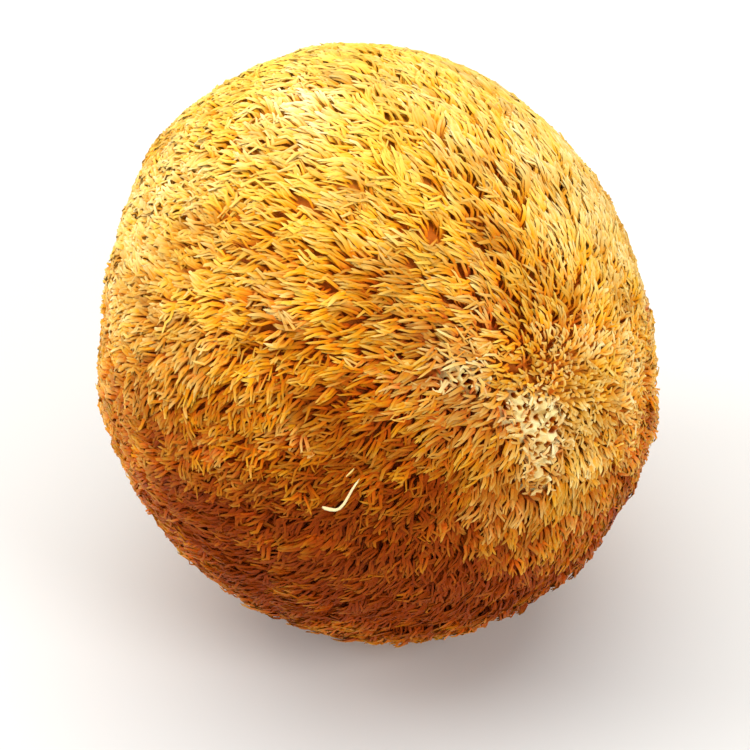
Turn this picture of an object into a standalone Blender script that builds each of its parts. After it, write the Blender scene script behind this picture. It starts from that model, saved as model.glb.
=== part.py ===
# Dried lion's mane mushroom: one head of flesh and spines that rests on the flat cut of its stalk.
# Metres, +Z up. The origin is the centre of the cut, and the front of the head faces -Y.

import math

import bmesh
import bpy
import numpy as np
from mathutils import Vector

# Driving dimensions, in metres
HALF_WIDTH = 0.0472  # from the middle to the spine tips, left and right
HALF_DEPTH = 0.0470  # the same, front and back
RISE = 0.0593  # from the widest level up to the highest tips
DROP = 0.0460  # from the widest level down to the cut
TOP_LEAN = -0.0066  # how far the top stands to the side of the cut
STALK_RADIUS = 0.0172  # the cut face
STALK_NECK_RADIUS = 0.0198  # the stalk where it leaves the flesh
STALK_HEIGHT = 0.0098  # from the cut up to the flesh
STALK_UNEVEN = 0.0011  # how far the stalk departs from a circle
STALK_WAVES = ((0.6, 2, 0.7), (0.4, 3, 2.1))  # share, waves round the stalk, phase
STALK_RAGGED = 0.18  # share of the unevenness that changes from corner to corner

# The spines part at the growth top and lie away from it, down to the beard on the far side
GROWTH_TOP = (0.62, -0.64, 0.46)
CROWN_ANGLE = 4.0  # degrees round the growth top where the spines stand up
COMBED_ANGLE = 26.0  # from here on they lie over
BEARD_ANGLE = 115.0  # from here on they grow longer
BEARD_FULL_ANGLE = 155.0
WEB_REACH = 0.0034  # height of the spine tips above the flesh, in the bare patches
COMBED_REACH = 0.0066
BEARD_REACH = 0.0088
COMBED_RUN = 0.0068  # how far a spine's tip lies along the flesh from its root
CROWN_RUN = 0.0012
RUN_VARIATION = 0.06  # share of the run
SIDE_SWAY = 0.0005  # sideways wander of the tips
SHORT_SPINES = 0.22  # the shortest spines lack this share of the full length
TIP_FLOOR = 0.0022  # no tip hangs lower than this above the cut
TIP_CLEAR_ANGLE = 30.0  # degrees from straight down that the tips keep off the stalk

BASE_POINTS = 1640  # corners of the flesh; each triangle between them carries one spine
POINT_JITTER = 0.14  # share of the spacing
FLESH_UNEVEN = 0.0004
STALK_SIDES = 24
STALK_CLEAR_ANGLE = 32.5  # degrees from straight down that the corners keep off the stalk
SEED = 7

# Broad swells and hollows: azimuth from +X and height angle in degrees, height in metres, spread in degrees
LUMPS = (
    (169.0, 12.0, -0.0020, 7.5),
    (143.0, 34.0, 0.0014, 9.0),
    (118.0, 43.0, -0.0008, 6.0),
    (93.0, 48.0, 0.0007, 6.0),
    (24.0, 26.0, 0.0009, 8.0),
    (10.0, 14.0, -0.0007, 6.0),
    (-78.0, 52.0, -0.0011, 9.0),
    (-120.0, 25.0, 0.0010, 12.0),
    (-40.0, 4.0, 0.0008, 12.0),
    (62.0, 5.0, 0.0012, 14.0),
    (110.0, -15.0, -0.0012, 12.0),
)

# Bare patches with short spines, beside the growth top: azimuth, height angle and spread in degrees
WEB_PATCHES = (
    (-53.0, 20.0, 8.0),
    (-60.0, 28.0, 5.0),
    (-56.0, 11.0, 6.0),
    (-66.0, 37.0, 3.5),
)

# Broad turns of the spines' lie: azimuth, height angle, turn and spread in degrees
SWIRLS = (
    (-88.0, 50.0, 30.0, 22.0),
    (-122.0, 24.0, 30.0, 16.0),
    (-75.0, 14.0, 24.0, 15.0),
    (-31.0, 27.0, -20.0, 15.0),
    (-4.0, 48.0, 18.0, 15.0),
    (-59.0, 77.0, -12.0, 15.0),
)

HEAD_COLOUR = (0.72, 0.40, 0.10, 1.0)
HEAD_ROUGHNESS = 0.6


def clear_scene():
    for item in list(bpy.data.objects):
        bpy.data.objects.remove(item, do_unlink=True)


def unit(vectors):
    return vectors / np.linalg.norm(vectors, axis=-1, keepdims=True)


def blend(value, start, end):
    """Smooth step from 0 at start to 1 at end."""
    share = np.clip((value - start) / (end - start), 0.0, 1.0)
    return share * share * (3.0 - 2.0 * share)


def angle_between(directions, axis):
    return np.degrees(np.arccos(np.clip(directions @ unit(np.asarray(axis)), -1.0, 1.0)))


def direction_at(azimuth, height_angle):
    flat = math.cos(math.radians(height_angle))
    return np.array([
        flat * math.cos(math.radians(azimuth)),
        flat * math.sin(math.radians(azimuth)),
        math.sin(math.radians(height_angle)),
    ])


def spread_directions(count, rng):
    """Evenly spread directions on a golden-angle spiral, moved a little so that no rows show."""
    steps = np.arange(count) + 0.5
    tilt = np.arccos(1.0 - 2.0 * steps / count)
    turn = math.pi * (1.0 + math.sqrt(5.0)) * steps
    directions = np.column_stack((np.cos(turn) * np.sin(tilt), np.sin(turn) * np.sin(tilt), np.cos(tilt)))
    spacing = math.sqrt(4.0 * math.pi / count)
    return unit(directions + rng.normal(0.0, POINT_JITTER * spacing, directions.shape))


def swell(directions, azimuth, height_angle, spread):
    """Smooth hump: 1 at the given place on the head, falling to 0 round it."""
    off = angle_between(directions, direction_at(azimuth, height_angle))
    return np.exp(-0.5 * (off / spread) ** 2)


def tip_radius(directions):
    """Distance from the middle of the head to the longest spine tips."""
    upright = np.where(directions[:, 2] > 0.0, RISE, DROP)
    axes = np.column_stack((np.full(len(directions), HALF_WIDTH), np.full(len(directions), HALF_DEPTH), upright))
    radius = 1.0 / np.linalg.norm(directions / axes, axis=1)
    for azimuth, height_angle, height, spread in LUMPS:
        radius = radius + height * swell(directions, azimuth, height_angle, spread)
    return radius


def spine_reach(directions):
    """Height of the spine tips above the flesh."""
    web = np.max([swell(directions, *patch) for patch in WEB_PATCHES], axis=0)
    beard = blend(angle_between(directions, GROWTH_TOP), BEARD_ANGLE, BEARD_FULL_ANGLE)
    return COMBED_REACH + (WEB_REACH - COMBED_REACH) * web + (BEARD_REACH - COMBED_REACH) * beard


def lying_direction(directions):
    """Along the flesh, away from the growth top; short near the beard's middle, where spines hang."""
    top = unit(np.asarray(GROWTH_TOP))
    along = (directions @ top)[:, None] * directions - top
    length = np.linalg.norm(along, axis=1, keepdims=True)
    past_side = (directions @ top)[:, None] < 0.0
    straight = along / np.maximum(length, 1e-6) * np.where(past_side, length, 1.0)
    turn = np.zeros(len(directions))
    for azimuth, height_angle, degrees, spread in SWIRLS:
        turn = turn + math.radians(degrees) * swell(directions, azimuth, height_angle, spread)
    return straight * np.cos(turn)[:, None] + np.cross(directions, straight) * np.sin(turn)[:, None]


def place(directions, radius):
    """Points of the leaning head, from directions and distances about its middle."""
    points = directions * np.asarray(radius)[:, None]
    points[:, 2] += DROP
    points[:, 0] += TOP_LEAN * points[:, 2] / (DROP + RISE)
    return points


def keep_off_stalk(directions):
    """Tilts directions outwards until they clear the stalk."""
    limit = math.radians(TIP_CLEAR_ANGLE)
    flat = np.linalg.norm(directions[:, :2], axis=1)
    inside = np.arctan2(flat, -directions[:, 2]) < limit
    outwards = directions[:, :2] / np.maximum(flat, 1e-6)[:, None]
    tilted = np.column_stack((outwards * math.sin(limit), np.full(len(directions), -math.cos(limit))))
    return np.where(inside[:, None], tilted, directions)


def stalk_rings(rng):
    """Neck ring, cut ring and centre of the cut, as points."""
    turns = np.arange(STALK_SIDES) * 2.0 * math.pi / STALK_SIDES
    wave = rng.normal(0.0, STALK_RAGGED, STALK_SIDES)
    for share, count, phase in STALK_WAVES:
        wave = wave + share * np.sin(count * turns + phase)
    rings = []
    for radius, height in ((STALK_NECK_RADIUS, STALK_HEIGHT), (STALK_RADIUS, 0.0)):
        reach = radius + STALK_UNEVEN * wave
        lean = TOP_LEAN * height / (DROP + RISE)
        rings.append(np.column_stack((
            reach * np.cos(turns) + lean,
            reach * np.sin(turns),
            np.full(STALK_SIDES, height),
        )))
    rings.append(np.zeros((1, 3)))
    return np.vstack(rings)


def hull_faces(directions):
    """Triangles that join neighbouring directions, as corner numbers."""
    net = bmesh.new()
    for number, direction in enumerate(directions):
        net.verts.new(direction).index = number
    bmesh.ops.convex_hull(net, input=net.verts)
    net.verts.ensure_lookup_table()
    faces = np.array([[corner.index for corner in face.verts] for face in net.faces])
    net.free()
    return faces


def turned_outwards(faces, directions):
    """The same triangles, each with its corners running the right way round."""
    a, b, c = (directions[faces[:, corner]] for corner in range(3))
    inwards = np.einsum("ij,ij->i", np.cross(b - a, c - a), a + b + c) < 0.0
    faces[inwards] = faces[inwards][:, ::-1]
    return faces


def spine_tips(middles, roots, rng):
    """One tip for each triangle of the flesh: further along the lie of the spines, out at the tips."""
    count = len(middles)
    off = angle_between(middles, GROWTH_TOP)
    run = CROWN_RUN + (COMBED_RUN - CROWN_RUN) * blend(off, CROWN_ANGLE, COMBED_ANGLE)
    run = run * (1.0 + rng.normal(0.0, RUN_VARIATION, count))
    lying = lying_direction(middles)
    sideways = np.cross(middles, lying) * rng.normal(0.0, SIDE_SWAY, count)[:, None]
    size = tip_radius(middles)[:, None]
    tips = keep_off_stalk(unit(middles + (lying * run[:, None] + sideways) / size))
    longest = place(tips, tip_radius(tips))
    grown = 1.0 - SHORT_SPINES * rng.random(count)
    points = roots + (longest - roots) * grown[:, None]
    points[:, 2] = np.maximum(points[:, 2], TIP_FLOOR)
    return points


def head_geometry():
    """Corners and triangles of the whole head: flesh net, one spine on each triangle, stalk and cut."""
    rng = np.random.default_rng(SEED)
    flesh = spread_directions(BASE_POINTS, rng)
    below = np.degrees(np.arctan2(np.linalg.norm(flesh[:, :2], axis=1), -flesh[:, 2]))
    flesh = flesh[below > STALK_CLEAR_ANGLE]
    uneven = rng.normal(0.0, FLESH_UNEVEN, len(flesh))
    flesh_points = place(flesh, tip_radius(flesh) - spine_reach(flesh) + uneven)
    stalk_points = stalk_rings(rng)
    stalk = unit(stalk_points - np.array([0.0, 0.0, DROP]))
    directions = np.vstack((flesh, stalk))
    points = np.vstack((flesh_points, stalk_points))
    faces = turned_outwards(hull_faces(directions), directions)
    plain = np.all(faces >= len(flesh), axis=1)
    spiny = faces[~plain]
    tips = spine_tips(unit(directions[spiny].mean(axis=1)), points[spiny].mean(axis=1), rng)
    tip_numbers = len(points) + np.arange(len(spiny))
    sides = [np.column_stack((spiny[:, k], spiny[:, (k + 1) % 3], tip_numbers)) for k in range(3)]
    return np.vstack((points, tips)), np.vstack([faces[plain]] + sides)


def head_material():
    material = bpy.data.materials.new("dried_spines")
    material.use_nodes = True
    shader = material.node_tree.nodes["Principled BSDF"]
    shader.inputs["Base Color"].default_value = HEAD_COLOUR
    shader.inputs["Roughness"].default_value = HEAD_ROUGHNESS
    shader.inputs["Metallic"].default_value = 0.0
    return material


def build_mushroom():
    clear_scene()
    points, faces = head_geometry()
    mesh = bpy.data.meshes.new("fruiting_body")
    mesh.from_pydata([Vector(point) for point in points.tolist()], [], faces.tolist())
    mesh.validate()
    mesh.materials.append(head_material())
    body = bpy.data.objects.new("fruiting_body", mesh)
    bpy.context.collection.objects.link(body)


build_mushroom()
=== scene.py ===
import math
import bpy
import numpy as np
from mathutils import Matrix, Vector
from mathutils.kdtree import KDTree


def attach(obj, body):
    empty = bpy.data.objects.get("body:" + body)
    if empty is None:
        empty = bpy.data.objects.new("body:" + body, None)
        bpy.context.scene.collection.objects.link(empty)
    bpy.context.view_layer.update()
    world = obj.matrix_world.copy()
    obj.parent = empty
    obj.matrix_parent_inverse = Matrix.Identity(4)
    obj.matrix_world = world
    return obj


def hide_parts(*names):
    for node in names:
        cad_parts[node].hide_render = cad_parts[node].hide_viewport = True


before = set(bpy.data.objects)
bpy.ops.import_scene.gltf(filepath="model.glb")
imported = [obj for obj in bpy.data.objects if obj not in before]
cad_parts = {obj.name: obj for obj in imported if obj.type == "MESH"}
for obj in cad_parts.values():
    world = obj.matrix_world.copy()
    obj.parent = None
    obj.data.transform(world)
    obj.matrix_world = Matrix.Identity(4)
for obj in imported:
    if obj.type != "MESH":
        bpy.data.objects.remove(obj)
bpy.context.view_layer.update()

scene = bpy.context.scene
rng = np.random.default_rng(21)

# The head's form, in metres and degrees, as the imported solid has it
headForm = {
    "halfWidth": 0.0472,  # middle to spine tips, left and right
    "halfDepth": 0.0470,
    "rise": 0.0593,  # widest level to the top
    "drop": 0.0460,  # widest level to the cut
    "topLean": -0.0066,
    "growthTop": (0.62, -0.64, 0.46),  # where the spines part
    "crownAngle": 3.0,  # upright spines inside this
    "combedAngle": 20.0,  # lying over from here
    "beardAngle": 115.0,  # longer from here
    "beardFullAngle": 155.0,
    "combedReach": 0.0021,  # tips above the flesh
    "beardReach": 0.0056,
    "goldenShorter": 0.3,  # share of the reach that the golden places lack
    "stalkHeight": 0.0098,
    "stalkClear": 25.0,  # degrees from straight down
    "swirls": (  # broad turns of the spines' lie: azimuth, height angle, turn, spread
        (-88.0, 50.0, 30.0, 22.0),
        (-124.0, 26.0, 42.0, 15.0),
        (-75.0, 14.0, 24.0, 15.0),
        (-31.0, 27.0, -20.0, 15.0),
        (-4.0, 48.0, 18.0, 15.0),
        (-59.0, 77.0, -12.0, 15.0),
    ),
    "lumps": (  # azimuth, height angle, height, spread
        (169.0, 12.0, -0.0020, 7.5),
        (143.0, 33.0, 0.0026, 9.0),
        (118.0, 43.0, -0.0008, 6.0),
        (93.0, 48.0, 0.0009, 6.0),
        (43.0, 37.0, 0.0010, 4.0),
        (24.0, 26.0, 0.0006, 7.0),
        (7.0, 7.0, 0.0008, 4.0),
        (-8.0, -9.0, 0.0008, 7.0),
        (-176.0, -5.0, 0.0010, 7.0),
        (-78.0, 52.0, -0.0011, 9.0),
        (-120.0, 25.0, 0.0010, 12.0),
        (-40.0, 4.0, 0.0008, 12.0),
        (62.0, 5.0, 0.0012, 14.0),
        (110.0, -15.0, -0.0012, 12.0),
    ),
}

# Broad patches of colour: azimuth, height angle, spread in degrees, strength
patches = {
    "web": (  # bare, pored flesh beside the growth top
        (-51.0, 23.0, 3.3, 1.0),
        (-52.5, 17.5, 3.1, 1.0),
        (-56.0, 28.0, 2.4, 0.9),
        (-55.0, 12.0, 2.6, 0.9),
        (-68.0, 38.5, 2.0, 0.95),
        (-63.5, 36.0, 2.0, 0.9),
    ),
    "curly": (  # short, curled spines that stand up
        (-46.0, 28.0, 9.0, 0.8),
        (-12.0, 24.0, 13.0, 0.8),
        (-28.0, 8.0, 11.0, 0.6),
        (-30.0, 40.0, 8.0, 0.5),
        (-110.0, 22.0, 12.0, 0.5),
        (-80.0, 10.0, 14.0, 0.4),
        (-168.0, 55.0, 9.0, 0.4),
    ),
    # lit golden places: painted light, lighter and yellower where the light falls on the top and
    # sides
    "golden": (
        (90.0, 60.0, 40.0, 1.0),
        (-90.0, 88.0, 26.0, 0.9),
        (-175.0, 50.0, 30.0, 0.8),
        (5.0, 45.0, 26.0, 0.8),
        (-46.0, 21.0, 15.0, 0.9),
        (-66.0, 37.5, 8.0, 0.4),
    ),
    # cream places: real cream spines round the bare patches, and pale spines with painted highlight
    # on the upper left and the right
    "pale": (
        (-52.0, 22.0, 8.0, 0.65),
        (-66.0, 37.5, 6.0, 0.6),
        (-38.0, 27.0, 9.0, 0.5),
        (-22.0, 18.0, 12.0, 0.5),
        (-40.0, 8.0, 8.0, 0.4),
        (-66.0, 8.0, 7.0, 0.45),
        (-150.0, 82.0, 6.0, 0.9),
        (-165.0, 58.0, 8.0, 0.4),
        (-175.0, 46.0, 11.0, 0.8),
        (-170.0, 26.0, 20.0, 0.45),
        (-150.0, 40.0, 6.0, 0.3),
        (4.0, 44.0, 16.0, 0.65),
        (0.0, 18.0, 16.0, 0.4),
        (-28.0, 56.0, 7.0, 0.2),
    ),
    # darker, browner places: real browning, and painted shade mostly over the lower front
    "dark": (
        (-118.0, -8.0, 30.0, 0.95),
        (-93.0, -6.0, 33.0, 1.0),
        (-70.0, -20.0, 21.0, 0.95),
        (-38.0, -27.0, 21.0, 0.85),
        (-90.0, -62.0, 40.0, 0.6),
        (-42.0, 56.0, 4.0, 0.4),
        (-112.0, 36.0, 8.0, 0.2),
        (-90.0, 32.0, 10.0, 0.25),
    ),
}


def unit(vectors):
    return vectors / np.maximum(np.linalg.norm(vectors, axis=-1, keepdims=True), 1e-9)


def blend(value, start, end):
    share = np.clip((value - start) / (end - start), 0.0, 1.0)
    return share * share * (3.0 - 2.0 * share)


def aimAt(azimuth, height):  # direction from two angles in degrees
    flat = math.cos(math.radians(height))
    turn = math.radians(azimuth)
    return np.array([flat * math.cos(turn), flat * math.sin(turn), math.sin(math.radians(height))])


def angleFrom(directions, axis):
    return np.degrees(np.arccos(np.clip(directions @ unit(np.asarray(axis)), -1.0, 1.0)))


def swell(directions, azimuth, height, spread):  # 1 at the place, falling to 0 round it
    return np.exp(-0.5 * (angleFrom(directions, aimAt(azimuth, height)) / spread) ** 2)


def patchShare(directions, kind):
    share = np.zeros(len(directions))
    for azimuth, height, spread, strength in patches[kind]:
        share = np.maximum(share, strength * swell(directions, azimuth, height, spread))
    return share


def webShare(directions, start=0.22, end=0.52):  # 1 on bare flesh, 0 where the spines are full
    return blend(patchShare(directions, "web"), start, end)


def softNoise(directions, waves, seed):  # smooth uneven values about 0
    source = np.random.default_rng(seed)
    total = np.zeros(len(directions))
    number = 7  # waves of each frequency, in different directions
    for frequency in waves:
        axes = unit(source.normal(size=(number, 3)))
        phases = source.uniform(0.0, 2.0 * math.pi, number)
        total += np.sin(directions @ axes.T * frequency + phases).mean(axis=1)
    return total * math.sqrt(2.0 * number / len(waves))


def tipRadius(directions):  # middle of the head to the longest tips
    upright = np.where(directions[:, 2] > 0.0, headForm["rise"], headForm["drop"])
    sides = np.full(len(directions), headForm["halfWidth"])
    fronts = np.full(len(directions), headForm["halfDepth"])
    radius = 1.0 / np.linalg.norm(directions / np.column_stack((sides, fronts, upright)), axis=1)
    for azimuth, height, lump, spread in headForm["lumps"]:
        radius = radius + lump * swell(directions, azimuth, height, spread)
    return radius


def spineReach(directions):  # tips above the flesh, away from the bare patches
    off = angleFrom(directions, headForm["growthTop"])
    beard = blend(off, headForm["beardAngle"], headForm["beardFullAngle"])
    reach = headForm["combedReach"] + (headForm["beardReach"] - headForm["combedReach"]) * beard
    return reach * (1.0 - headForm["goldenShorter"] * patchShare(directions, "golden"))


def layAlong(directions):  # over the flesh, away from the growth top
    top = unit(np.asarray(headForm["growthTop"]))
    facing = (directions @ top)[:, None]
    along = facing * directions - top
    length = np.linalg.norm(along, axis=1, keepdims=True)
    return along / np.maximum(length, 1e-6) * np.where(facing < 0.0, length, 1.0)


def leanAt(heights):
    return headForm["topLean"] * heights / (headForm["drop"] + headForm["rise"])


def placeOnHead(directions, radius):
    points = directions * np.asarray(radius)[:, None]
    points[:, 2] += headForm["drop"]
    points[:, 0] += leanAt(points[:, 2])
    return points


def directionsOf(points):  # the reverse of placeOnHead
    middle = np.zeros((len(points), 3))
    middle[:, 0] = leanAt(points[:, 2])
    middle[:, 2] = headForm["drop"]
    return unit(points - middle)


def spreadOut(count, jitter):  # golden-angle spiral over the whole ball
    steps = np.arange(count) + 0.5
    tilt = np.arccos(1.0 - 2.0 * steps / count)
    turn = math.pi * (1.0 + math.sqrt(5.0)) * steps
    flat = np.sin(tilt)
    directions = np.column_stack((np.cos(turn) * flat, np.sin(turn) * flat, np.cos(tilt)))
    spacing = math.sqrt(4.0 * math.pi / count)
    return unit(directions + rng.normal(0.0, jitter * spacing, directions.shape))


def downAngle(directions):
    return np.degrees(np.arctan2(np.linalg.norm(directions[:, :2], axis=1), -directions[:, 2]))


def nearestOf(directions, centres):
    tree = KDTree(len(centres))
    for number, centre in enumerate(centres):
        tree.insert(centre, number)
    tree.balance()
    found = [tree.find(direction) for direction in directions]
    return np.array([hit[1] for hit in found]), np.array([hit[2] for hit in found])


def turnAbout(vectors, axes, degrees):
    angle = np.radians(degrees)[:, None]
    return vectors * np.cos(angle) + np.cross(axes, vectors) * np.sin(angle)


def deselectAll():
    if bpy.context.object and bpy.context.object.mode != "OBJECT":
        bpy.ops.object.mode_set(mode="OBJECT")
    bpy.ops.object.select_all(action="DESELECT")


def readPoints(mesh):
    values = np.empty(len(mesh.vertices) * 3)
    mesh.vertices.foreach_get("co", values)
    return values.reshape(-1, 3)


def writePoints(mesh, points):
    mesh.vertices.foreach_set("co", np.ascontiguousarray(points, dtype=np.float32).ravel())
    mesh.update()


def addValues(mesh, **values):
    for name, value in values.items():
        layer = mesh.attributes.new(name, "FLOAT", "POINT")
        layer.data.foreach_set("value", value.astype(np.float32))


def settle(piece):
    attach(piece, "root")
    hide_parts("fruiting_body")


# Materials

def nodeAt(tree, kind, place, **settings):
    node = tree.nodes.new(kind)
    node.location = place
    for name, value in settings.items():
        setattr(node, name, value)
    return node


def setRamp(node, stops):
    ramp = node.color_ramp
    while len(ramp.elements) > len(stops):
        ramp.elements.remove(ramp.elements[-1])
    while len(ramp.elements) < len(stops):
        ramp.elements.new(1.0)
    for element, (position, colour) in zip(ramp.elements, stops):
        element.position = position
        element.color = (*colour, 1.0)


def driedToneGroup():  # browned places, with painted shade, bleached places, with painted highlight, and a fine grain, for flesh and spines alike
    group = bpy.data.node_groups.new("driedTone", "ShaderNodeTree")
    sockets = (
        ("Position", "NodeSocketVector"), ("Colour", "NodeSocketColor"),
        ("Brown", "NodeSocketColor"), ("Bleach And Highlight Colour", "NodeSocketColor"),
        ("Browned And Shaded", "NodeSocketFloat"), ("Bleach And Highlight", "NodeSocketFloat"),
        ("Grain Scale", "NodeSocketFloat"), ("Grain Depth", "NodeSocketFloat"),
    )
    for name, kind in sockets:
        group.interface.new_socket(name=name, in_out="INPUT", socket_type=kind)
    group.interface.new_socket(name="Colour", in_out="OUTPUT", socket_type="NodeSocketColor")
    group.interface.new_socket(name="Height", in_out="OUTPUT", socket_type="NodeSocketFloat")
    given = nodeAt(group, "NodeGroupInput", (-900, 0))
    made = nodeAt(group, "NodeGroupOutput", (500, 0))
    links = group.links
    grain = nodeAt(group, "ShaderNodeTexNoise", (-650, -250))
    grain.inputs["Detail"].default_value = 3.0
    links.new(given.outputs["Position"], grain.inputs["Vector"])
    links.new(given.outputs["Grain Scale"], grain.inputs["Scale"])
    brownedAndShaded = nodeAt(group, "ShaderNodeMix", (-450, 150), data_type="RGBA")
    links.new(given.outputs["Browned And Shaded"], brownedAndShaded.inputs["Factor"])
    links.new(given.outputs["Colour"], brownedAndShaded.inputs["A"])
    links.new(given.outputs["Brown"], brownedAndShaded.inputs["B"])
    bleachedAndHighlit = nodeAt(group, "ShaderNodeMix", (-200, 150), data_type="RGBA")
    links.new(given.outputs["Bleach And Highlight"], bleachedAndHighlit.inputs["Factor"])
    links.new(brownedAndShaded.outputs["Result"], bleachedAndHighlit.inputs["A"])
    links.new(given.outputs["Bleach And Highlight Colour"], bleachedAndHighlit.inputs["B"])
    centred = nodeAt(group, "ShaderNodeMath", (-450, -250), operation="SUBTRACT")
    centred.inputs[1].default_value = 0.5
    links.new(grain.outputs["Fac"], centred.inputs[0])
    shade = nodeAt(group, "ShaderNodeMath", (-250, -250), operation="MULTIPLY_ADD")
    shade.inputs[2].default_value = 1.0
    links.new(centred.outputs["Value"], shade.inputs[0])
    links.new(given.outputs["Grain Depth"], shade.inputs[1])
    mottled = nodeAt(group, "ShaderNodeVectorMath", (50, 100), operation="MULTIPLY")
    links.new(bleachedAndHighlit.outputs["Result"], mottled.inputs[0])
    links.new(shade.outputs["Value"], mottled.inputs[1])
    links.new(mottled.outputs["Vector"], made.inputs["Colour"])
    links.new(grain.outputs["Fac"], made.inputs["Height"])
    return group


driedTone = driedToneGroup()


def tonedMaterial(name, look):
    material = bpy.data.materials.new(name)
    material.use_nodes = True
    tree = material.node_tree
    links = tree.links
    shader = tree.nodes["Principled BSDF"]
    shader.inputs["Roughness"].default_value = look["roughness"]
    shader.inputs["Specular IOR Level"].default_value = look["specular"]
    place = nodeAt(tree, "ShaderNodeTexCoord", (-1100, -100))
    along = nodeAt(tree, "ShaderNodeAttribute", (-1100, 300), attribute_name="along")
    ramp = nodeAt(tree, "ShaderNodeValToRGB", (-850, 300))
    setRamp(ramp, look["stops"])
    links.new(along.outputs["Fac"], ramp.inputs["Fac"])
    tone = nodeAt(tree, "ShaderNodeGroup", (-500, 100), node_tree=driedTone)
    tone.inputs["Brown"].default_value = (*look["brown"], 1.0)
    tone.inputs["Bleach And Highlight Colour"].default_value = (*look["pale"], 1.0)
    tone.inputs["Grain Scale"].default_value = look["grainScale"]
    tone.inputs["Grain Depth"].default_value = look["grainDepth"]
    links.new(place.outputs["Object"], tone.inputs["Position"])
    links.new(ramp.outputs["Color"], tone.inputs["Colour"])
    for attribute, socket, level in (("tone", "Browned And Shaded", -300), ("pale", "Bleach And Highlight", -500)):
        value = nodeAt(tree, "ShaderNodeAttribute", (-850, level), attribute_name=attribute)
        links.new(value.outputs["Fac"], tone.inputs[socket])
    links.new(tone.outputs["Colour"], shader.inputs["Base Color"])
    bump = nodeAt(tree, "ShaderNodeBump", (-250, -200))
    bump.inputs["Distance"].default_value = look["bump"]
    links.new(tone.outputs["Height"], bump.inputs["Height"])
    links.new(bump.outputs["Normal"], shader.inputs["Normal"])
    return material


spineLook = {
    # from root to tip along each spine; the deep red-brown root end is painted shade, the shade
    # between the spines
    "stops": (
        (0.0, (0.92, 0.065, 0.0003)),
        (0.4, (0.98, 0.20, 0.0015)),
        (0.72, (0.97, 0.41, 0.008)),
        (1.0, (0.96, 0.64, 0.105)),
    ),
    "brown": (0.27, 0.034, 0.0004),
    "pale": (0.98, 0.86, 0.48),
    "roughness": 0.42,
    "specular": 0.05,
    "grainScale": 1400.0,
    "grainDepth": 0.25,
    "bump": 0.00004,
}
fleshLook = {
    # the dark low end is painted shade, under the spines and in the pores
    "stops": (
        (0.0, (0.28, 0.04, 0.001)),
        (0.3, (0.70, 0.16, 0.003)),
        (0.6, (0.97, 0.50, 0.050)),
        (1.0, (0.98, 0.77, 0.26)),
    ),
    "brown": (0.40, 0.09, 0.004),
    "pale": (0.98, 0.84, 0.42),
    "roughness": 0.6,
    "specular": 0.15,
    "grainScale": 900.0,
    "grainDepth": 0.35,
    "bump": 0.0001,
}


# Flesh and stalk

fleshSettings = {
    "detail": 6,  # subdivisions of the first ball
    "webCuts": 11,  # further cuts where the flesh shows
    "webFrom": 0.02,  # share of bareness from which they are made
    "uneven": 0.0003,
    "under": 0.0003,  # flesh below the lowest spines' path
    "stalkSteps": (  # from the flesh down to the cut: share of the height, width of the ring above
        (0.0, 0.84), (0.10, 0.955), (0.20, 0.965), (0.25, 0.975), (0.25, 0.985), (0.20, 0.99),
    ),
    "stalkFibres": 0.030,  # uneven sides, as a share of the stalk's radius
    "cutRings": (0.96, 0.94, 0.90, 0.88, 0.84, 0.78, 0.68, 0.50),  # flat, to carry its colour
    "webDepth": 0.0008,  # bare flesh below the spine tips
    "poreCount": 15000,  # over the whole ball
    "poreRadius": 0.00040,
    "poreSizes": (0.65, 1.25),  # as shares of it
    "poreDepth": 0.0024,
    "pitWall": (0.55, 1.25),  # where the pit rises, in pore radii from its middle
    "ridgeFrom": (0.60, 1.45),  # where the flesh turns lighter, out of the painted shade in the pit
    "paleFrom": (1.2, 1.9),  # and where it turns pale
    "crumb": 0.00030,  # lumps between the pores
    "spinedHue": 0.12,  # place on the colour ramp under the spines: dark, as painted shade between the spines
    "goldenHue": 0.30,  # how much further up it is in the lit golden places: painted light in the gaps
    "darkTone": 0.5,  # how browned the flesh is in the dark places: real browning and painted shade
    "stalkHue": 0.54,  # place of the stalk and its cut on the ramp
    "skinDeeper": 0.15,  # how much deeper the stalk's side is
    "skinTone": 0.42,  # how browned and bleached the side is
    "skinPale": 0.08,
    "cutTone": 0.06,  # and the same for the inside of the cut
    "cutPale": 0.42,
}


def fleshDepth(directions):  # below the spine tips
    reach = spineReach(directions)
    return reach + (fleshSettings["webDepth"] - reach) * webShare(directions)


def selectWeb(mesh):
    bpy.ops.object.mode_set(mode="EDIT")
    bpy.ops.mesh.select_all(action="DESELECT")
    bpy.ops.object.mode_set(mode="OBJECT")
    points = readPoints(mesh)
    share = webShare(unit(points))
    for face in mesh.polygons:
        face.select = bool(share[list(face.vertices)].max() > fleshSettings["webFrom"])


def poreNearness(directions, pores, sizes):  # way from the nearest pore's middle, in its radii
    number, away = nearestOf(directions, pores)
    return away * headForm["halfWidth"] / (fleshSettings["poreRadius"] * sizes[number])


def growStalk():  # down from a flat cut through the ball, then in over the stalk's own cut
    bpy.ops.mesh.bisect(
        plane_co=(0.0, 0.0, headForm["stalkHeight"]), plane_no=(0.0, 0.0, 1.0),
        use_fill=True, clear_inner=True, threshold=1e-7)
    flat = tuple((0.0, share) for share in fleshSettings["cutRings"])
    for drop, share in fleshSettings["stalkSteps"] + flat:
        bpy.ops.mesh.extrude_region_move(
            TRANSFORM_OT_translate={"value": (0.0, 0.0, -drop * headForm["stalkHeight"])})
        bpy.ops.transform.resize(value=(share, share, 1.0), center_override=(0.0, 0.0, 0.0))
    bpy.ops.mesh.poke()


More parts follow.
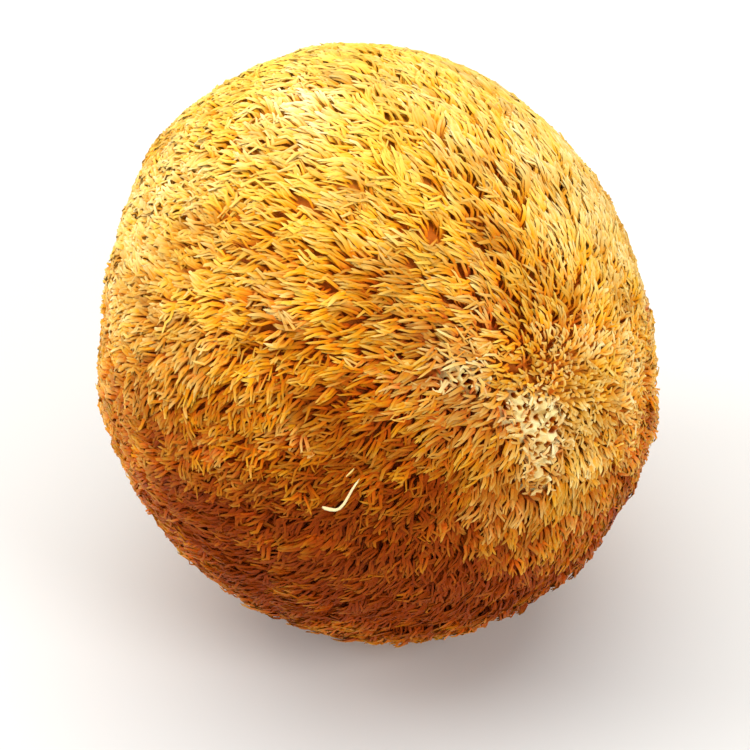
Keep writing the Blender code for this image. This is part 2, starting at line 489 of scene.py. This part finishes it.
def fleshValues(points, pores, sizes, fibres):  # what the material reads at each point
    offAxis = np.linalg.norm(points[:, :2], axis=1)
    onCut = points[:, 2] < 1e-5
    core = onCut * (1.0 - blend(offAxis / offAxis[onCut].max(), 0.75, 0.95))  # inside its rim
    around = directionsOf(points)
    nearness = poreNearness(around, pores, sizes)
    bare = webShare(around, 0.10, 0.30)
    # flesh under the spines painted dark as the shade between them, and lifted as painted light in
    # the lit golden places
    spined = fleshSettings["spinedHue"] + fleshSettings["goldenHue"] * patchShare(around, "golden")
    ridge = blend(nearness, *fleshSettings["ridgeFrom"])
    ridge = ridge * (0.92 + 0.22 * softNoise(around, (60.0, 110.0), 23))
    # dark in the pits, as painted shade, and light on the ridges
    along = spined + bare * (ridge - spined)
    blotches = np.clip(0.65 + 0.4 * softNoise(around, (50.0, 95.0), 29), 0.0, 1.0)
    pale = bare * blend(nearness, *fleshSettings["paleFrom"]) * blotches
    stalk = 1.0 - blend(points[:, 2], 0.3 * headForm["stalkHeight"], headForm["stalkHeight"])
    side = stalk * (1.0 - core)
    skinHue = side * (0.03 * fibres - fleshSettings["skinDeeper"])
    grain = softNoise(around, (30.0, 60.0, 110.0), 19)
    tone = 0.1 + 0.12 * grain
    tone = tone + fleshSettings["darkTone"] * patchShare(around, "dark") * (1.0 - stalk)
    tone = tone + fleshSettings["skinTone"] * side + fleshSettings["cutTone"] * core
    cutPale = fleshSettings["cutPale"] + 0.08 * grain
    return {
        "along": along + (stalk * (fleshSettings["stalkHue"] - along) + skinHue),
        "pale": pale + fleshSettings["skinPale"] * side + core * cutPale,
        "tone": np.clip(tone, 0.0, 1.0),
    }


def buildFlesh():
    deselectAll()
    bpy.ops.mesh.primitive_ico_sphere_add(subdivisions=fleshSettings["detail"], radius=1.0)
    flesh = bpy.context.object
    flesh.name = "flesh"
    mesh = flesh.data
    selectWeb(mesh)
    bpy.ops.object.mode_set(mode="EDIT")
    bpy.ops.mesh.select_mode(type="FACE")
    bpy.ops.mesh.subdivide(number_cuts=fleshSettings["webCuts"])
    bpy.ops.object.mode_set(mode="OBJECT")
    directions = unit(readPoints(mesh))
    web = webShare(directions)
    pores = spreadOut(fleshSettings["poreCount"], jitter=0.30)
    sizes = rng.uniform(*fleshSettings["poreSizes"], len(pores))
    pit = 1.0 - blend(poreNearness(directions, pores, sizes), *fleshSettings["pitWall"])
    crumb = fleshSettings["crumb"] * softNoise(directions, (90.0, 160.0, 260.0), 5)
    uneven = fleshSettings["uneven"] * softNoise(directions, (14.0, 23.0, 37.0), 3)
    radius = tipRadius(directions) - fleshDepth(directions)
    radius = radius + (uneven - fleshSettings["under"]) * (1.0 - web)
    radius = radius + web * (crumb - fleshSettings["poreDepth"] * pit)
    writePoints(mesh, placeOnHead(directions, radius))
    bpy.ops.object.mode_set(mode="EDIT")
    bpy.ops.mesh.select_all(action="SELECT")
    growStalk()
    bpy.ops.object.mode_set(mode="OBJECT")
    points = readPoints(mesh)
    onStalk = (points[:, 2] < 0.97 * headForm["stalkHeight"])[:, None]
    turns = np.arctan2(points[:, 1], points[:, 0])
    ringed = np.column_stack((np.cos(turns), np.sin(turns), 12.0 * points[:, 2]))
    fibres = softNoise(unit(ringed), (5.0, 11.0, 24.0, 60.0), 31)
    points[:, :2] *= 1.0 + onStalk * fleshSettings["stalkFibres"] * fibres[:, None]
    writePoints(mesh, points)
    bpy.ops.object.mode_set(mode="EDIT")
    bpy.ops.mesh.select_all(action="SELECT")
    bpy.ops.mesh.normals_make_consistent(inside=False)
    bpy.ops.mesh.quads_convert_to_tris()
    bpy.ops.object.mode_set(mode="OBJECT")
    bpy.ops.object.shade_smooth_by_angle(angle=math.radians(50.0))
    addValues(mesh, **fleshValues(points, pores, sizes, fibres))
    mesh.materials.append(tonedMaterial("driedFlesh", fleshLook))
    settle(flesh)
    print("flesh", len(mesh.polygons), "triangles")


# Spines: one is modelled, and every other is a bent copy of it

spineShape = {
    "sides": 3,
    "rings": ((0.0, 0.85), (0.36, 1.0), (0.66, 0.95), (0.90, 0.70)),  # height, width
    "count": 47200,
    "radius": 0.00024,
    "flatness": 0.60,  # thickness as a share of the width
    "softness": 0.76,  # how far its shading follows the head's
    "goldenSoftness": 0.14,  # further in the golden places
    "radiusVariation": 0.20,
    "run": 0.0044,  # how far a tip lies along the flesh from its root
    "crownRun": 0.0018,
    "runVariation": 0.25,
    "runRange": (0.4, 1.5),  # as shares of the run
    "slope": (1.3, 1.8),  # how late a spine leans over
    "lyingFrom": 0.58,  # share of its length at which it has risen to its level
    "sink": 0.0004,  # roots below the flesh
    "lockCount": 8500,  # spines cling together in locks
    "tuftCount": 1100,
    "lockPull": (0.15, 0.65),
    "tuftPull": (0.0, 0.15),
    "stray": 9.0,  # degrees that one spine leaves the lie of its neighbours
    "lockStray": 12.0,
    "tuftStray": 7.0,
    "wander": 9.0,  # degrees of broad, soft turns
    "level": 0.86,  # height of the lying part, as a share of the reach
    "levelVariation": (0.07, 0.08, 0.09),  # of one spine, a lock and a tuft
    "levelRange": (0.50, 1.20),
    "tuftRise": 0.00034,  # how far whole tufts stand out or lie back
    "lockRise": 0.00022,
    "riseRange": (-0.6, 2.0),  # as shares of both
    "wave": 0.00048,  # curl to the sides
    "ownWave": 0.30,  # how far a spine's curl differs from its lock's
    "curledWave": 0.6,  # how much further among curled spines
    "lockTurns": (0.5, 1.1),
    "heave": 0.00016,
    "droop": 0.00040,
    "droopFrom": 0.6,  # share of the length
    "droopRange": (-0.3, 1.5),  # as shares of the droop
    "goldenRoots": 0.7,  # how far the lit golden places reach down to the roots: painted light in the gaps between the spines
    "crest": 0.17,  # painted highlight: how much paler the outer side is than the side towards the flesh, which gets painted shade
    "lowHue": 0.16,  # how much deeper the colour of low spines is: painted shade under the spines above them
    "darkHue": 0.26,  # and of those in the dark places: real browning and painted shade
    "tipFade": 0.08,  # how far the brown, with its painted shade, fades towards the tips
    "goldenWidth": 0.28,  # wider spines in the golden places
    "goldenLevel": 0.6,  # and less difference in their height
    "webCurl": 0.55,  # run of the short curled spines on the bare patches, as a share
    "webThin": 0.93,  # share of the spines missing there
    "webTurn": 170.0,  # degrees that a spine there may turn to either side
    "curlyTurn": 80.0,  # and in the curly places
    "webRoots": 0.7,  # how far the light colour there reaches down to the roots
    "lowStep": 0.16,  # a level this much lower counts as one step down
    "brown": {  # how browned a spine is, painted shade on low spines included: everywhere, then what adds to it
        "base": 0.12,
        "own": 0.05,
        "lock": 0.08,
        # painted shade on the low spines
        "broad": 0.14,
        "low": 0.08,
        "web": -0.3,
        # less brown in the lit golden places: painted light
        "golden": -0.08,
    },
    "bleachAndHighlight": {  # how bleached, with painted highlight, in the same way
        "base": -0.02,
        "own": 0.11,
        "lock": 0.08,
        "broad": 0.10,
        # less bleach on the low spines: painted shade
        "low": -0.06,
        "patch": 0.7,
        "web": 0.25,
        # more bleach in the lit golden places: painted light
        "golden": 0.10,
    },
    "rootBleachAndHighlight": 0.10,  # share of the bleaching and painted highlight that the roots get
    "webBleach": 0.5,  # how much of the rest they get on the bare patches
    "crestHighlight": 0.6,  # how much more the outer side gets: painted highlight
}


def modelSpine(sides, rings):
    deselectAll()
    bpy.ops.mesh.primitive_circle_add(vertices=sides, radius=1.0, fill_type="NGON")
    spine = bpy.context.object
    bpy.ops.object.mode_set(mode="EDIT")
    bpy.ops.mesh.select_all(action="SELECT")
    heights = [ring[0] for ring in rings] + [1.0]
    widths = [ring[1] for ring in rings] + [0.3]
    for step in range(1, len(heights)):
        bpy.ops.mesh.extrude_region_move(
            TRANSFORM_OT_translate={"value": (0.0, 0.0, heights[step] - heights[step - 1])})
        share = widths[step] / widths[step - 1]
        bpy.ops.transform.resize(
            value=(share, share, 1.0), center_override=(0.0, 0.0, heights[step]))
    bpy.ops.mesh.merge(type="CENTER")  # the last ring becomes the tip
    bpy.ops.mesh.select_all(action="SELECT")
    bpy.ops.mesh.normals_make_consistent(inside=False)
    bpy.ops.mesh.quads_convert_to_tris()
    bpy.ops.object.mode_set(mode="OBJECT")
    mesh = spine.data
    points = readPoints(mesh)
    triangles = np.array([list(face.vertices) for face in mesh.polygons])
    bpy.data.objects.remove(spine, do_unlink=True)
    bpy.data.meshes.remove(mesh)
    return points, triangles


def layWithSwirl(directions):
    turn = spineShape["wander"] * softNoise(directions, (3.0, 5.5, 9.0), 8)
    for azimuth, height, degrees, spread in headForm["swirls"]:
        turn = turn + degrees * swell(directions, azimuth, height, spread)
    return turnAbout(layAlong(directions), directions, turn)


def runFor(directions):
    off = angleFrom(directions, headForm["growthTop"])
    share = blend(off, headForm["crownAngle"], headForm["combedAngle"])
    run = spineShape["crownRun"] + (spineShape["run"] - spineShape["crownRun"]) * share
    return run / tipRadius(directions)


def planSpines():
    directions = spreadOut(spineShape["count"], jitter=0.30)
    directions = directions[downAngle(directions) > headForm["stalkClear"]]
    bare = webShare(directions, 0.35, 0.65) * spineShape["webThin"]
    directions = directions[rng.random(len(directions)) > bare]
    web = webShare(directions)
    count = len(directions)
    locks = spreadOut(spineShape["lockCount"], jitter=0.28)
    tufts = spreadOut(spineShape["tuftCount"], jitter=0.28)
    lockOf = nearestOf(directions, locks)[0]
    tuftOfLock = nearestOf(locks, tufts)[0]
    tuftOf = tuftOfLock[lockOf]
    tuftTurn = rng.normal(0.0, spineShape["tuftStray"], len(tufts))
    tuftLay = turnAbout(layWithSwirl(tufts), tufts, tuftTurn)
    tuftTip = tufts + tuftLay * runFor(tufts)[:, None]
    lockTurn = tuftTurn[tuftOfLock] + rng.normal(0.0, spineShape["lockStray"], len(locks))
    lockLay = turnAbout(layWithSwirl(locks), locks, lockTurn)
    lockTip = locks + lockLay * runFor(locks)[:, None]
    curly = patchShare(directions, "curly") * (1.0 - web)
    curled = np.maximum(web, curly)
    turn = lockTurn[lockOf] + rng.normal(0.0, spineShape["stray"], count)
    turn = turn + web * rng.uniform(-spineShape["webTurn"], spineShape["webTurn"], count)
    turn = turn + curly * rng.uniform(-spineShape["curlyTurn"], spineShape["curlyTurn"], count)
    lay = turnAbout(layWithSwirl(directions), directions, turn)
    variation = rng.normal(1.0, spineShape["runVariation"], count)
    run = runFor(directions) * np.clip(variation, *spineShape["runRange"])
    run = run * (1.0 + (spineShape["webCurl"] - 1.0) * curled)
    step = lay * run[:, None]
    pull = (rng.uniform(*spineShape["lockPull"], count) * (1.0 - web) * (1.0 - curly))[:, None]
    step = step + (lockTip[lockOf] - directions - step) * pull
    pull = (rng.uniform(*spineShape["tuftPull"], count) * (1.0 - web))[:, None]
    step = step + (tuftTip[tuftOf] - directions - step) * pull
    own, lock, tuft = spineShape["levelVariation"]
    unevenness = own * rng.normal(size=count) + lock * rng.normal(size=len(locks))[lockOf]
    unevenness = unevenness + tuft * rng.normal(size=len(tufts))[tuftOf]
    steady = 1.0 - spineShape["goldenLevel"] * patchShare(directions, "golden")
    level = np.clip(spineShape["level"] + unevenness * steady, *spineShape["levelRange"])
    riseRange = spineShape["riseRange"]
    rise = spineShape["tuftRise"] * np.clip(rng.normal(size=len(tufts)), *riseRange)[tuftOf]
    rise = rise + spineShape["lockRise"] * np.clip(rng.normal(size=len(locks)), *riseRange)[lockOf]
    rise = (rise - rise.mean()) * steady
    ownWave = spineShape["ownWave"] + spineShape["curledWave"] * curled
    wave = rng.normal(size=len(locks))[lockOf] + ownWave * rng.normal(size=count)
    phase = rng.uniform(0.0, 2.0 * math.pi, len(locks))[lockOf]
    phase = phase + 2.0 * ownWave * rng.normal(size=count)
    turns = rng.uniform(*spineShape["lockTurns"], len(locks))[lockOf] + 0.1 * rng.normal(size=count)
    return {
        "directions": directions, "step": step, "web": web, "lock": lockOf,
        "level": level, "reach": fleshDepth(directions), "rise": rise,
        "wave": wave * spineShape["wave"] / headForm["halfWidth"], "phase": phase, "turns": turns,
    }


def bendSpines(plan, points, pick):  # one bent copy of the spine for each picked root
    count = len(pick)
    start = plan["directions"][pick]
    step = plan["step"][pick]
    reach = plan["reach"][pick]
    level = plan["level"][pick]
    rise = plan["rise"][pick]
    side = unit(np.cross(start, step))
    wave = plan["wave"][pick]
    phase = plan["phase"][pick]
    turns = plan["turns"][pick]
    heave = rng.normal(0.0, spineShape["heave"], count)
    slope = rng.uniform(*spineShape["slope"], count)
    droop = spineShape["droop"] * rng.uniform(*spineShape["droopRange"], count)
    droopFrom = spineShape["droopFrom"]

    def pathAt(height):
        swing = np.sin(phase + turns * height * 2.0 * math.pi) - np.sin(phase)
        sway = wave * swing * min(1.0, 2.0 * height)
        ahead = unit(start + step * (height ** slope)[:, None] + side * sway[:, None])
        up = np.sin(0.5 * math.pi * min(1.0, height / spineShape["lyingFrom"]))
        radius = tipRadius(ahead) - reach * (1.0 - level * up) - spineShape["sink"] * (1.0 - up)
        radius = radius + rise * up + heave * np.sin(phase * 1.7 + height * math.pi * 2.5) * height
        fallen = max(0.0, (height - droopFrom) / (1.0 - droopFrom)) ** 2
        return placeOnHead(ahead, radius - droop * fallen)

    golden = patchShare(start, "golden")
    radius = spineShape["radius"] * (1.0 + rng.normal(0.0, spineShape["radiusVariation"], count))
    radius = radius * (1.0 + spineShape["goldenWidth"] * golden)
    roll = rng.uniform(0.0, 2.0 * math.pi, count)
    corners = np.empty((count, len(points), 3), dtype=np.float32)
    normals = np.empty((count, len(points), 3), dtype=np.float32)
    outward = np.empty((count, len(points)), dtype=np.float32)
    flat = spineShape["flatness"]
    soft = (spineShape["softness"] + spineShape["goldenSoftness"] * golden)[:, None]
    for height in np.unique(np.round(points[:, 2], 6)):
        here = pathAt(height)
        aim = unit(pathAt(min(height + 0.05, 1.0)) - pathAt(max(height - 0.05, 0.0)))
        first = unit(side - aim * np.einsum("ij,ij->i", aim, side)[:, None])
        second = np.cross(aim, first)
        for number in np.nonzero(np.abs(points[:, 2] - height) < 1e-5)[0]:
            x, y = points[number, 0], points[number, 1]
            turnX = first * (x * np.cos(roll) - y * np.sin(roll))[:, None]
            turnY = second * (x * np.sin(roll) + y * np.cos(roll))[:, None]
            corners[:, number] = here + (turnX + turnY * flat) * radius[:, None]
            own = unit(turnX * flat + turnY) if math.hypot(x, y) > 1e-6 else aim
            normals[:, number] = unit(own * (1.0 - soft) + start * soft)
            # how far each corner faces outwards, for the painted highlight and shade
            outward[:, number] = np.einsum("ij,ij->i", own, start)
    return corners, normals, outward


mapSettings = {
    "tallness": 6.5,  # height of a strip against its width
    "edges": (0.08, 0.02),  # kept clear to each side, and above and below
    "endBand": 0.1,  # lowest share of a strip, for the spine's flat end
}


def stripMap(points, triangles, count):  # one upright strip of the map for each spine, row by row
    band = mapSettings["endBand"]
    columns = max(1, int(math.ceil(math.sqrt(count * mapSettings["tallness"]))))
    rows = int(math.ceil(count / columns))
    turn = np.arctan2(points[:, 1], points[:, 0])
    flatEnd = np.abs(points[:, 2]) < 1e-6
    onAxis = np.linalg.norm(points[:, :2], axis=1) < 1e-6
    local = np.empty((len(triangles), 3, 2))
    for number, corners in enumerate(triangles):
        if flatEnd[corners].all():
            local[number, :, 0] = 0.5 + 0.4 * points[corners, 0]
            local[number, :, 1] = 0.04 + 0.03 * points[corners, 1]
            continue
        ring = [turn[corner] for corner in corners if not onAxis[corner]]
        middle = math.atan2(np.sin(ring).mean(), np.cos(ring).mean())
        near = (turn[corners] - middle + math.pi) % (2.0 * math.pi) - math.pi
        near = np.where(onAxis[corners], 0.0, near)
        local[number, :, 0] = 0.5 + (middle % (2.0 * math.pi) - math.pi + near) / (2.0 * math.pi)
        local[number, :, 1] = band + (1.0 - band) * points[corners, 2]
    for axis, edge in enumerate(mapSettings["edges"]):
        local[..., axis] = edge + (1.0 - 2.0 * edge) * local[..., axis]
    place = np.arange(count)
    shift = np.column_stack((place % columns, place // columns))
    return (local[None] + shift[:, None, None, :]) / np.array([columns, rows])


def joinTubes(name, points, triangles, corners, normals, values, material):
    count = len(corners)
    faces = (triangles[None] + (np.arange(count) * len(points))[:, None, None]).reshape(-1, 3)
    mesh = bpy.data.meshes.new(name)
    mesh.vertices.add(count * len(points))
    mesh.vertices.foreach_set("co", corners.astype(np.float32).ravel())
    mesh.loops.add(faces.size)
    mesh.loops.foreach_set("vertex_index", faces.ravel().astype(np.int32))
    mesh.polygons.add(len(faces))
    mesh.polygons.foreach_set("loop_start", np.arange(0, faces.size, 3, dtype=np.int32))
    mesh.update(calc_edges=True)
    mesh.shade_smooth()
    mesh.normals_split_custom_set_from_vertices(normals.reshape(-1, 3))
    uvLayer = mesh.uv_layers.new(name="OFBake")
    uvLayer.uv.foreach_set("vector", stripMap(points, triangles, count).astype(np.float32).ravel())
    addValues(mesh, **{name: value.ravel() for name, value in values.items()})
    mesh.materials.append(material)
    piece = bpy.data.objects.new(name, mesh)
    scene.collection.objects.link(piece)
    settle(piece)


def spineValues(plan, points, pick, outward):  # what the material reads at each point
    height = points[:, 2][None]
    tipward = blend(height, 0.4, 1.0)
    start = plan["directions"][pick]
    web = plan["web"][pick]
    # low spines and dark places deeper in colour: painted shade
    deeper = spineShape["lowHue"] * np.clip(plan["depth"][pick], 0.0, 1.5)
    deeper = deeper + spineShape["darkHue"] * patchShare(start, "dark")
    # painted highlight on each spine's outer side and painted shade on its side towards the flesh
    hue = spineShape["crest"] * outward - deeper[:, None]
    # lighter roots in the lit golden and cream places: painted light in the gaps
    lift = np.maximum(patchShare(start, "golden"), patchShare(start, "pale"))
    lift = np.maximum(lift * spineShape["goldenRoots"], spineShape["webRoots"] * web)[:, None]
    outer = spineShape["rootBleachAndHighlight"] + (1.0 - spineShape["rootBleachAndHighlight"]) * tipward
    outer = outer + spineShape["webBleach"] * (1.0 - outer) * web[:, None]
    # paler outer side: painted highlight
    pale = plan["pale"][pick][:, None] * outer * (1.0 + spineShape["crestHighlight"] * outward)
    return {
        "along": np.clip(height + (1.0 - height) * lift + hue, 0.0, 1.0),
        # brown and its painted shade fading towards the tips
        "tone": plan["tone"][pick][:, None] * (1.0 - spineShape["tipFade"] * tipward),
        "pale": np.clip(pale, 0.0, 1.0),
    }


def unevenTone(shares, lockTone, broad, depth):  # from spine to spine, lock to lock and more widely, with painted shade on the low spines
    tone = shares["base"] + shares["own"] * rng.normal(0.0, 1.0, len(depth))
    tone = tone + shares["lock"] * lockTone + shares["broad"] * broad
    return tone + shares["low"] * depth


def addTones(plan):  # how low each spine is, how browned, with painted shade, and how bleached, with painted highlight
    directions = plan["directions"]
    lockTone = rng.normal(0.0, 1.0, spineShape["lockCount"])[plan["lock"]]
    golden = patchShare(directions, "golden")
    depth = (spineShape["level"] - plan["level"]) / spineShape["lowStep"]
    brown = spineShape["brown"]
    tone = unevenTone(brown, lockTone, softNoise(directions, (20.0, 34.0, 55.0), 12), depth)
    # dark places: real browning, and painted shade mostly over the lower front
    tone = tone + patchShare(directions, "dark") + brown["web"] * plan["web"]
    tone = np.clip(tone + brown["golden"] * golden, 0.0, 1.0)
    bleachAndHighlight = spineShape["bleachAndHighlight"]
    pale = unevenTone(bleachAndHighlight, lockTone, softNoise(directions, (22.0, 38.0, 60.0), 15), depth)
    # cream places: real cream and painted highlight
    pale = pale + bleachAndHighlight["patch"] * patchShare(directions, "pale")
    pale = pale + bleachAndHighlight["web"] * webShare(directions, 0.12, 0.40) + bleachAndHighlight["golden"] * golden
    plan["depth"] = depth
    plan["tone"] = tone
    plan["pale"] = np.clip(pale, 0.0, 1.0) * (1.0 - tone) ** 2


def buildSpines():
    points, triangles = modelSpine(spineShape["sides"], spineShape["rings"])
    plan = planSpines()
    addTones(plan)
    order = np.argsort(angleFrom(plan["directions"], headForm["growthTop"]))
    material = tonedMaterial("driedSpines", spineLook)
    names = ("spines_crown", "spines_shoulder", "spines_girdle", "spines_hanging", "spines_beard")
    for name, pick in zip(names, np.array_split(order, len(names))):
        pick = np.sort(pick)
        corners, normals, outward = bendSpines(plan, points, pick)
        values = spineValues(plan, points, pick, outward)
        joinTubes(name, points, triangles, corners, normals, values, material)
        print(name, len(pick), "spines", len(pick) * len(triangles), "triangles")


# Stray fibres that lie loose on the spines, low at the front

strayFibres = {
    "sides": 8,
    "radius": 0.00025,
    "rings": tuple((step / 9.0, 1.0) for step in range(9)),
    "look": dict(spineLook, pale=(0.98, 0.83, 0.44)),
    "pale": (1.0, 0.35),  # of each fibre
    "paths": (  # azimuth, height angle, width, and height over the spine tips, for each ring
        (
            (-100.1, 13.9, 0.60, 0.0010), (-99.6, 13.7, 1.15, 0.0010), (-98.6, 13.45, 1.25, 0.0009),
            (-97.6, 13.4, 1.05, 0.0009), (-96.7, 13.85, 0.95, 0.0009), (-95.8, 15.0, 0.90, 0.0009),
            (-94.9, 16.6, 0.80, 0.0008), (-94.1, 18.1, 0.75, 0.0007), (-93.2, 19.4, 0.60, 0.0004),
            (-92.4, 20.4, 0.30, 0.0),
        ),
        (
            (-93.6, 22.2, 0.25, -0.0004), (-93.8, 22.0, 0.40, -0.0002),
            (-94.0, 21.8, 0.50, -0.0001), (-94.2, 21.6, 0.55, 0.0), (-94.4, 21.4, 0.55, 0.0),
            (-94.6, 21.2, 0.55, 0.0), (-94.8, 21.0, 0.50, 0.0), (-95.0, 20.8, 0.45, 0.0),
            (-95.2, 20.6, 0.35, 0.0), (-95.3, 20.4, 0.25, -0.0001),
        ),
    ),
}


def buildStrays():
    shape = strayFibres
    points, triangles = modelSpine(shape["sides"], shape["rings"])
    levels = np.unique(np.round(points[:, 2], 6))
    middle = np.array([0.0, 0.0, headForm["drop"]])
    corners = np.empty((len(shape["paths"]), len(points), 3))
    normals = np.empty_like(corners)
    for number, path in enumerate(shape["paths"]):
        around = np.array([aimAt(azimuth, height) for azimuth, height, width, over in path])
        centres = placeOnHead(around, tipRadius(around) + np.array([row[3] for row in path]))
        for ring, level in enumerate(levels):
            aim = unit(centres[min(ring + 1, len(levels) - 1)] - centres[max(ring - 1, 0)])
            first = unit(np.cross(centres[ring] - middle, aim))
            second = np.cross(aim, first)
            for corner in np.nonzero(np.abs(points[:, 2] - level) < 1e-5)[0]:
                away = first * points[corner, 0] + second * points[corner, 1]
                corners[number, corner] = centres[ring] + away * shape["radius"] * path[ring][2]
                normals[number, corner] = unit(away) if np.linalg.norm(away) > 1e-6 else aim
    full = np.ones((len(shape["paths"]), len(points)))
    values = {"along": full, "tone": full * 0.0, "pale": full * np.array(shape["pale"])[:, None]}
    material = tonedMaterial("strayFibre", shape["look"])
    joinTubes("stray_fibres", points, triangles, corners, normals, values, material)
    print("stray_fibres", len(corners), "fibres")


# Camera, floor and light

viewSettings = {
    "elevation": 42.0,
    "distance": 0.650,
    "pixelsPerMetre": 5853.0,  # at the middle of the head
    "frame": 750.0,
    "offX": 3.5,  # the middle of the head, right of and above the picture's middle
    "offY": 8.0,
    "floorSize": 6.0,
    "floorColour": (0.70, 0.70, 0.69),
    "floorRoughness": 0.9,
}
lightSettings = {
    "world": 0.42,
    "aim": (0.0, 0.0, 0.05),  # what every lamp points at
    "lamps": (  # name, place, size, power, colour
        ("keyLight", (-0.10, 0.30, 0.95), 1.80, 15.5, (1.0, 0.985, 0.96)),
        ("leftLight", (-0.85, 0.0, 0.50), 0.50, 4.0, (1.0, 0.99, 0.97)),
        ("rightLight", (0.58, -0.55, 0.62), 0.40, 3.8, (1.0, 0.99, 0.97)),
    ),
}


def addCamera():
    tilt = math.radians(viewSettings["elevation"])
    up = Vector((0.0, math.sin(tilt), math.cos(tilt)))
    back = Vector((0.0, -math.cos(tilt), math.sin(tilt)))
    lean = headForm["topLean"] * headForm["drop"] / (headForm["drop"] + headForm["rise"])
    middle = Vector((lean, 0.0, headForm["drop"]))
    perMetre = viewSettings["pixelsPerMetre"]
    aside = Vector((viewSettings["offX"] / perMetre, 0.0, 0.0))
    aim = middle - aside - up * (viewSettings["offY"] / perMetre)
    deselectAll()
    bpy.ops.object.camera_add(location=aim + back * viewSettings["distance"])
    camera = bpy.context.object
    camera.rotation_euler = (-back).to_track_quat("-Z", "Y").to_euler()
    sensor = 36.0
    camera.data.sensor_width = sensor
    camera.data.lens = sensor * viewSettings["distance"] * perMetre / viewSettings["frame"]
    camera.data.clip_start = 0.01
    camera.data.clip_end = 20.0
    scene.camera = camera


def addFloor():
    deselectAll()
    bpy.ops.mesh.primitive_plane_add(size=viewSettings["floorSize"], location=(0.0, 0.0, 0.0))
    floor = bpy.context.object
    floor.name = "floor"
    material = bpy.data.materials.new("paleFloor")
    material.use_nodes = True
    shader = material.node_tree.nodes["Principled BSDF"]
    shader.inputs["Base Color"].default_value = (*viewSettings["floorColour"], 1.0)
    shader.inputs["Roughness"].default_value = viewSettings["floorRoughness"]
    floor.data.materials.append(material)


def setLight():
    world = bpy.data.worlds.new("studio")
    world.use_nodes = True
    background = world.node_tree.nodes["Background"]
    background.inputs["Color"].default_value = (1.0, 1.0, 1.0, 1.0)
    background.inputs["Strength"].default_value = lightSettings["world"]
    scene.world = world
    aim = Vector(lightSettings["aim"])
    for name, place, size, power, colour in lightSettings["lamps"]:
        deselectAll()
        bpy.ops.object.light_add(type="AREA", location=place)
        lamp = bpy.context.object
        lamp.name = name
        lamp.data.shape = "DISK"
        lamp.data.size = size
        lamp.data.energy = power
        lamp.data.color = colour
        lamp.rotation_euler = (aim - Vector(place)).to_track_quat("-Z", "Y").to_euler()
    scene.view_settings.view_transform = "Standard"
    scene.view_settings.look = "None"


print("flesh")
buildFlesh()
print("spines")
buildSpines()
print("stray fibres")
buildStrays()
print("camera, floor and light")
addCamera()
addFloor()
setLight()
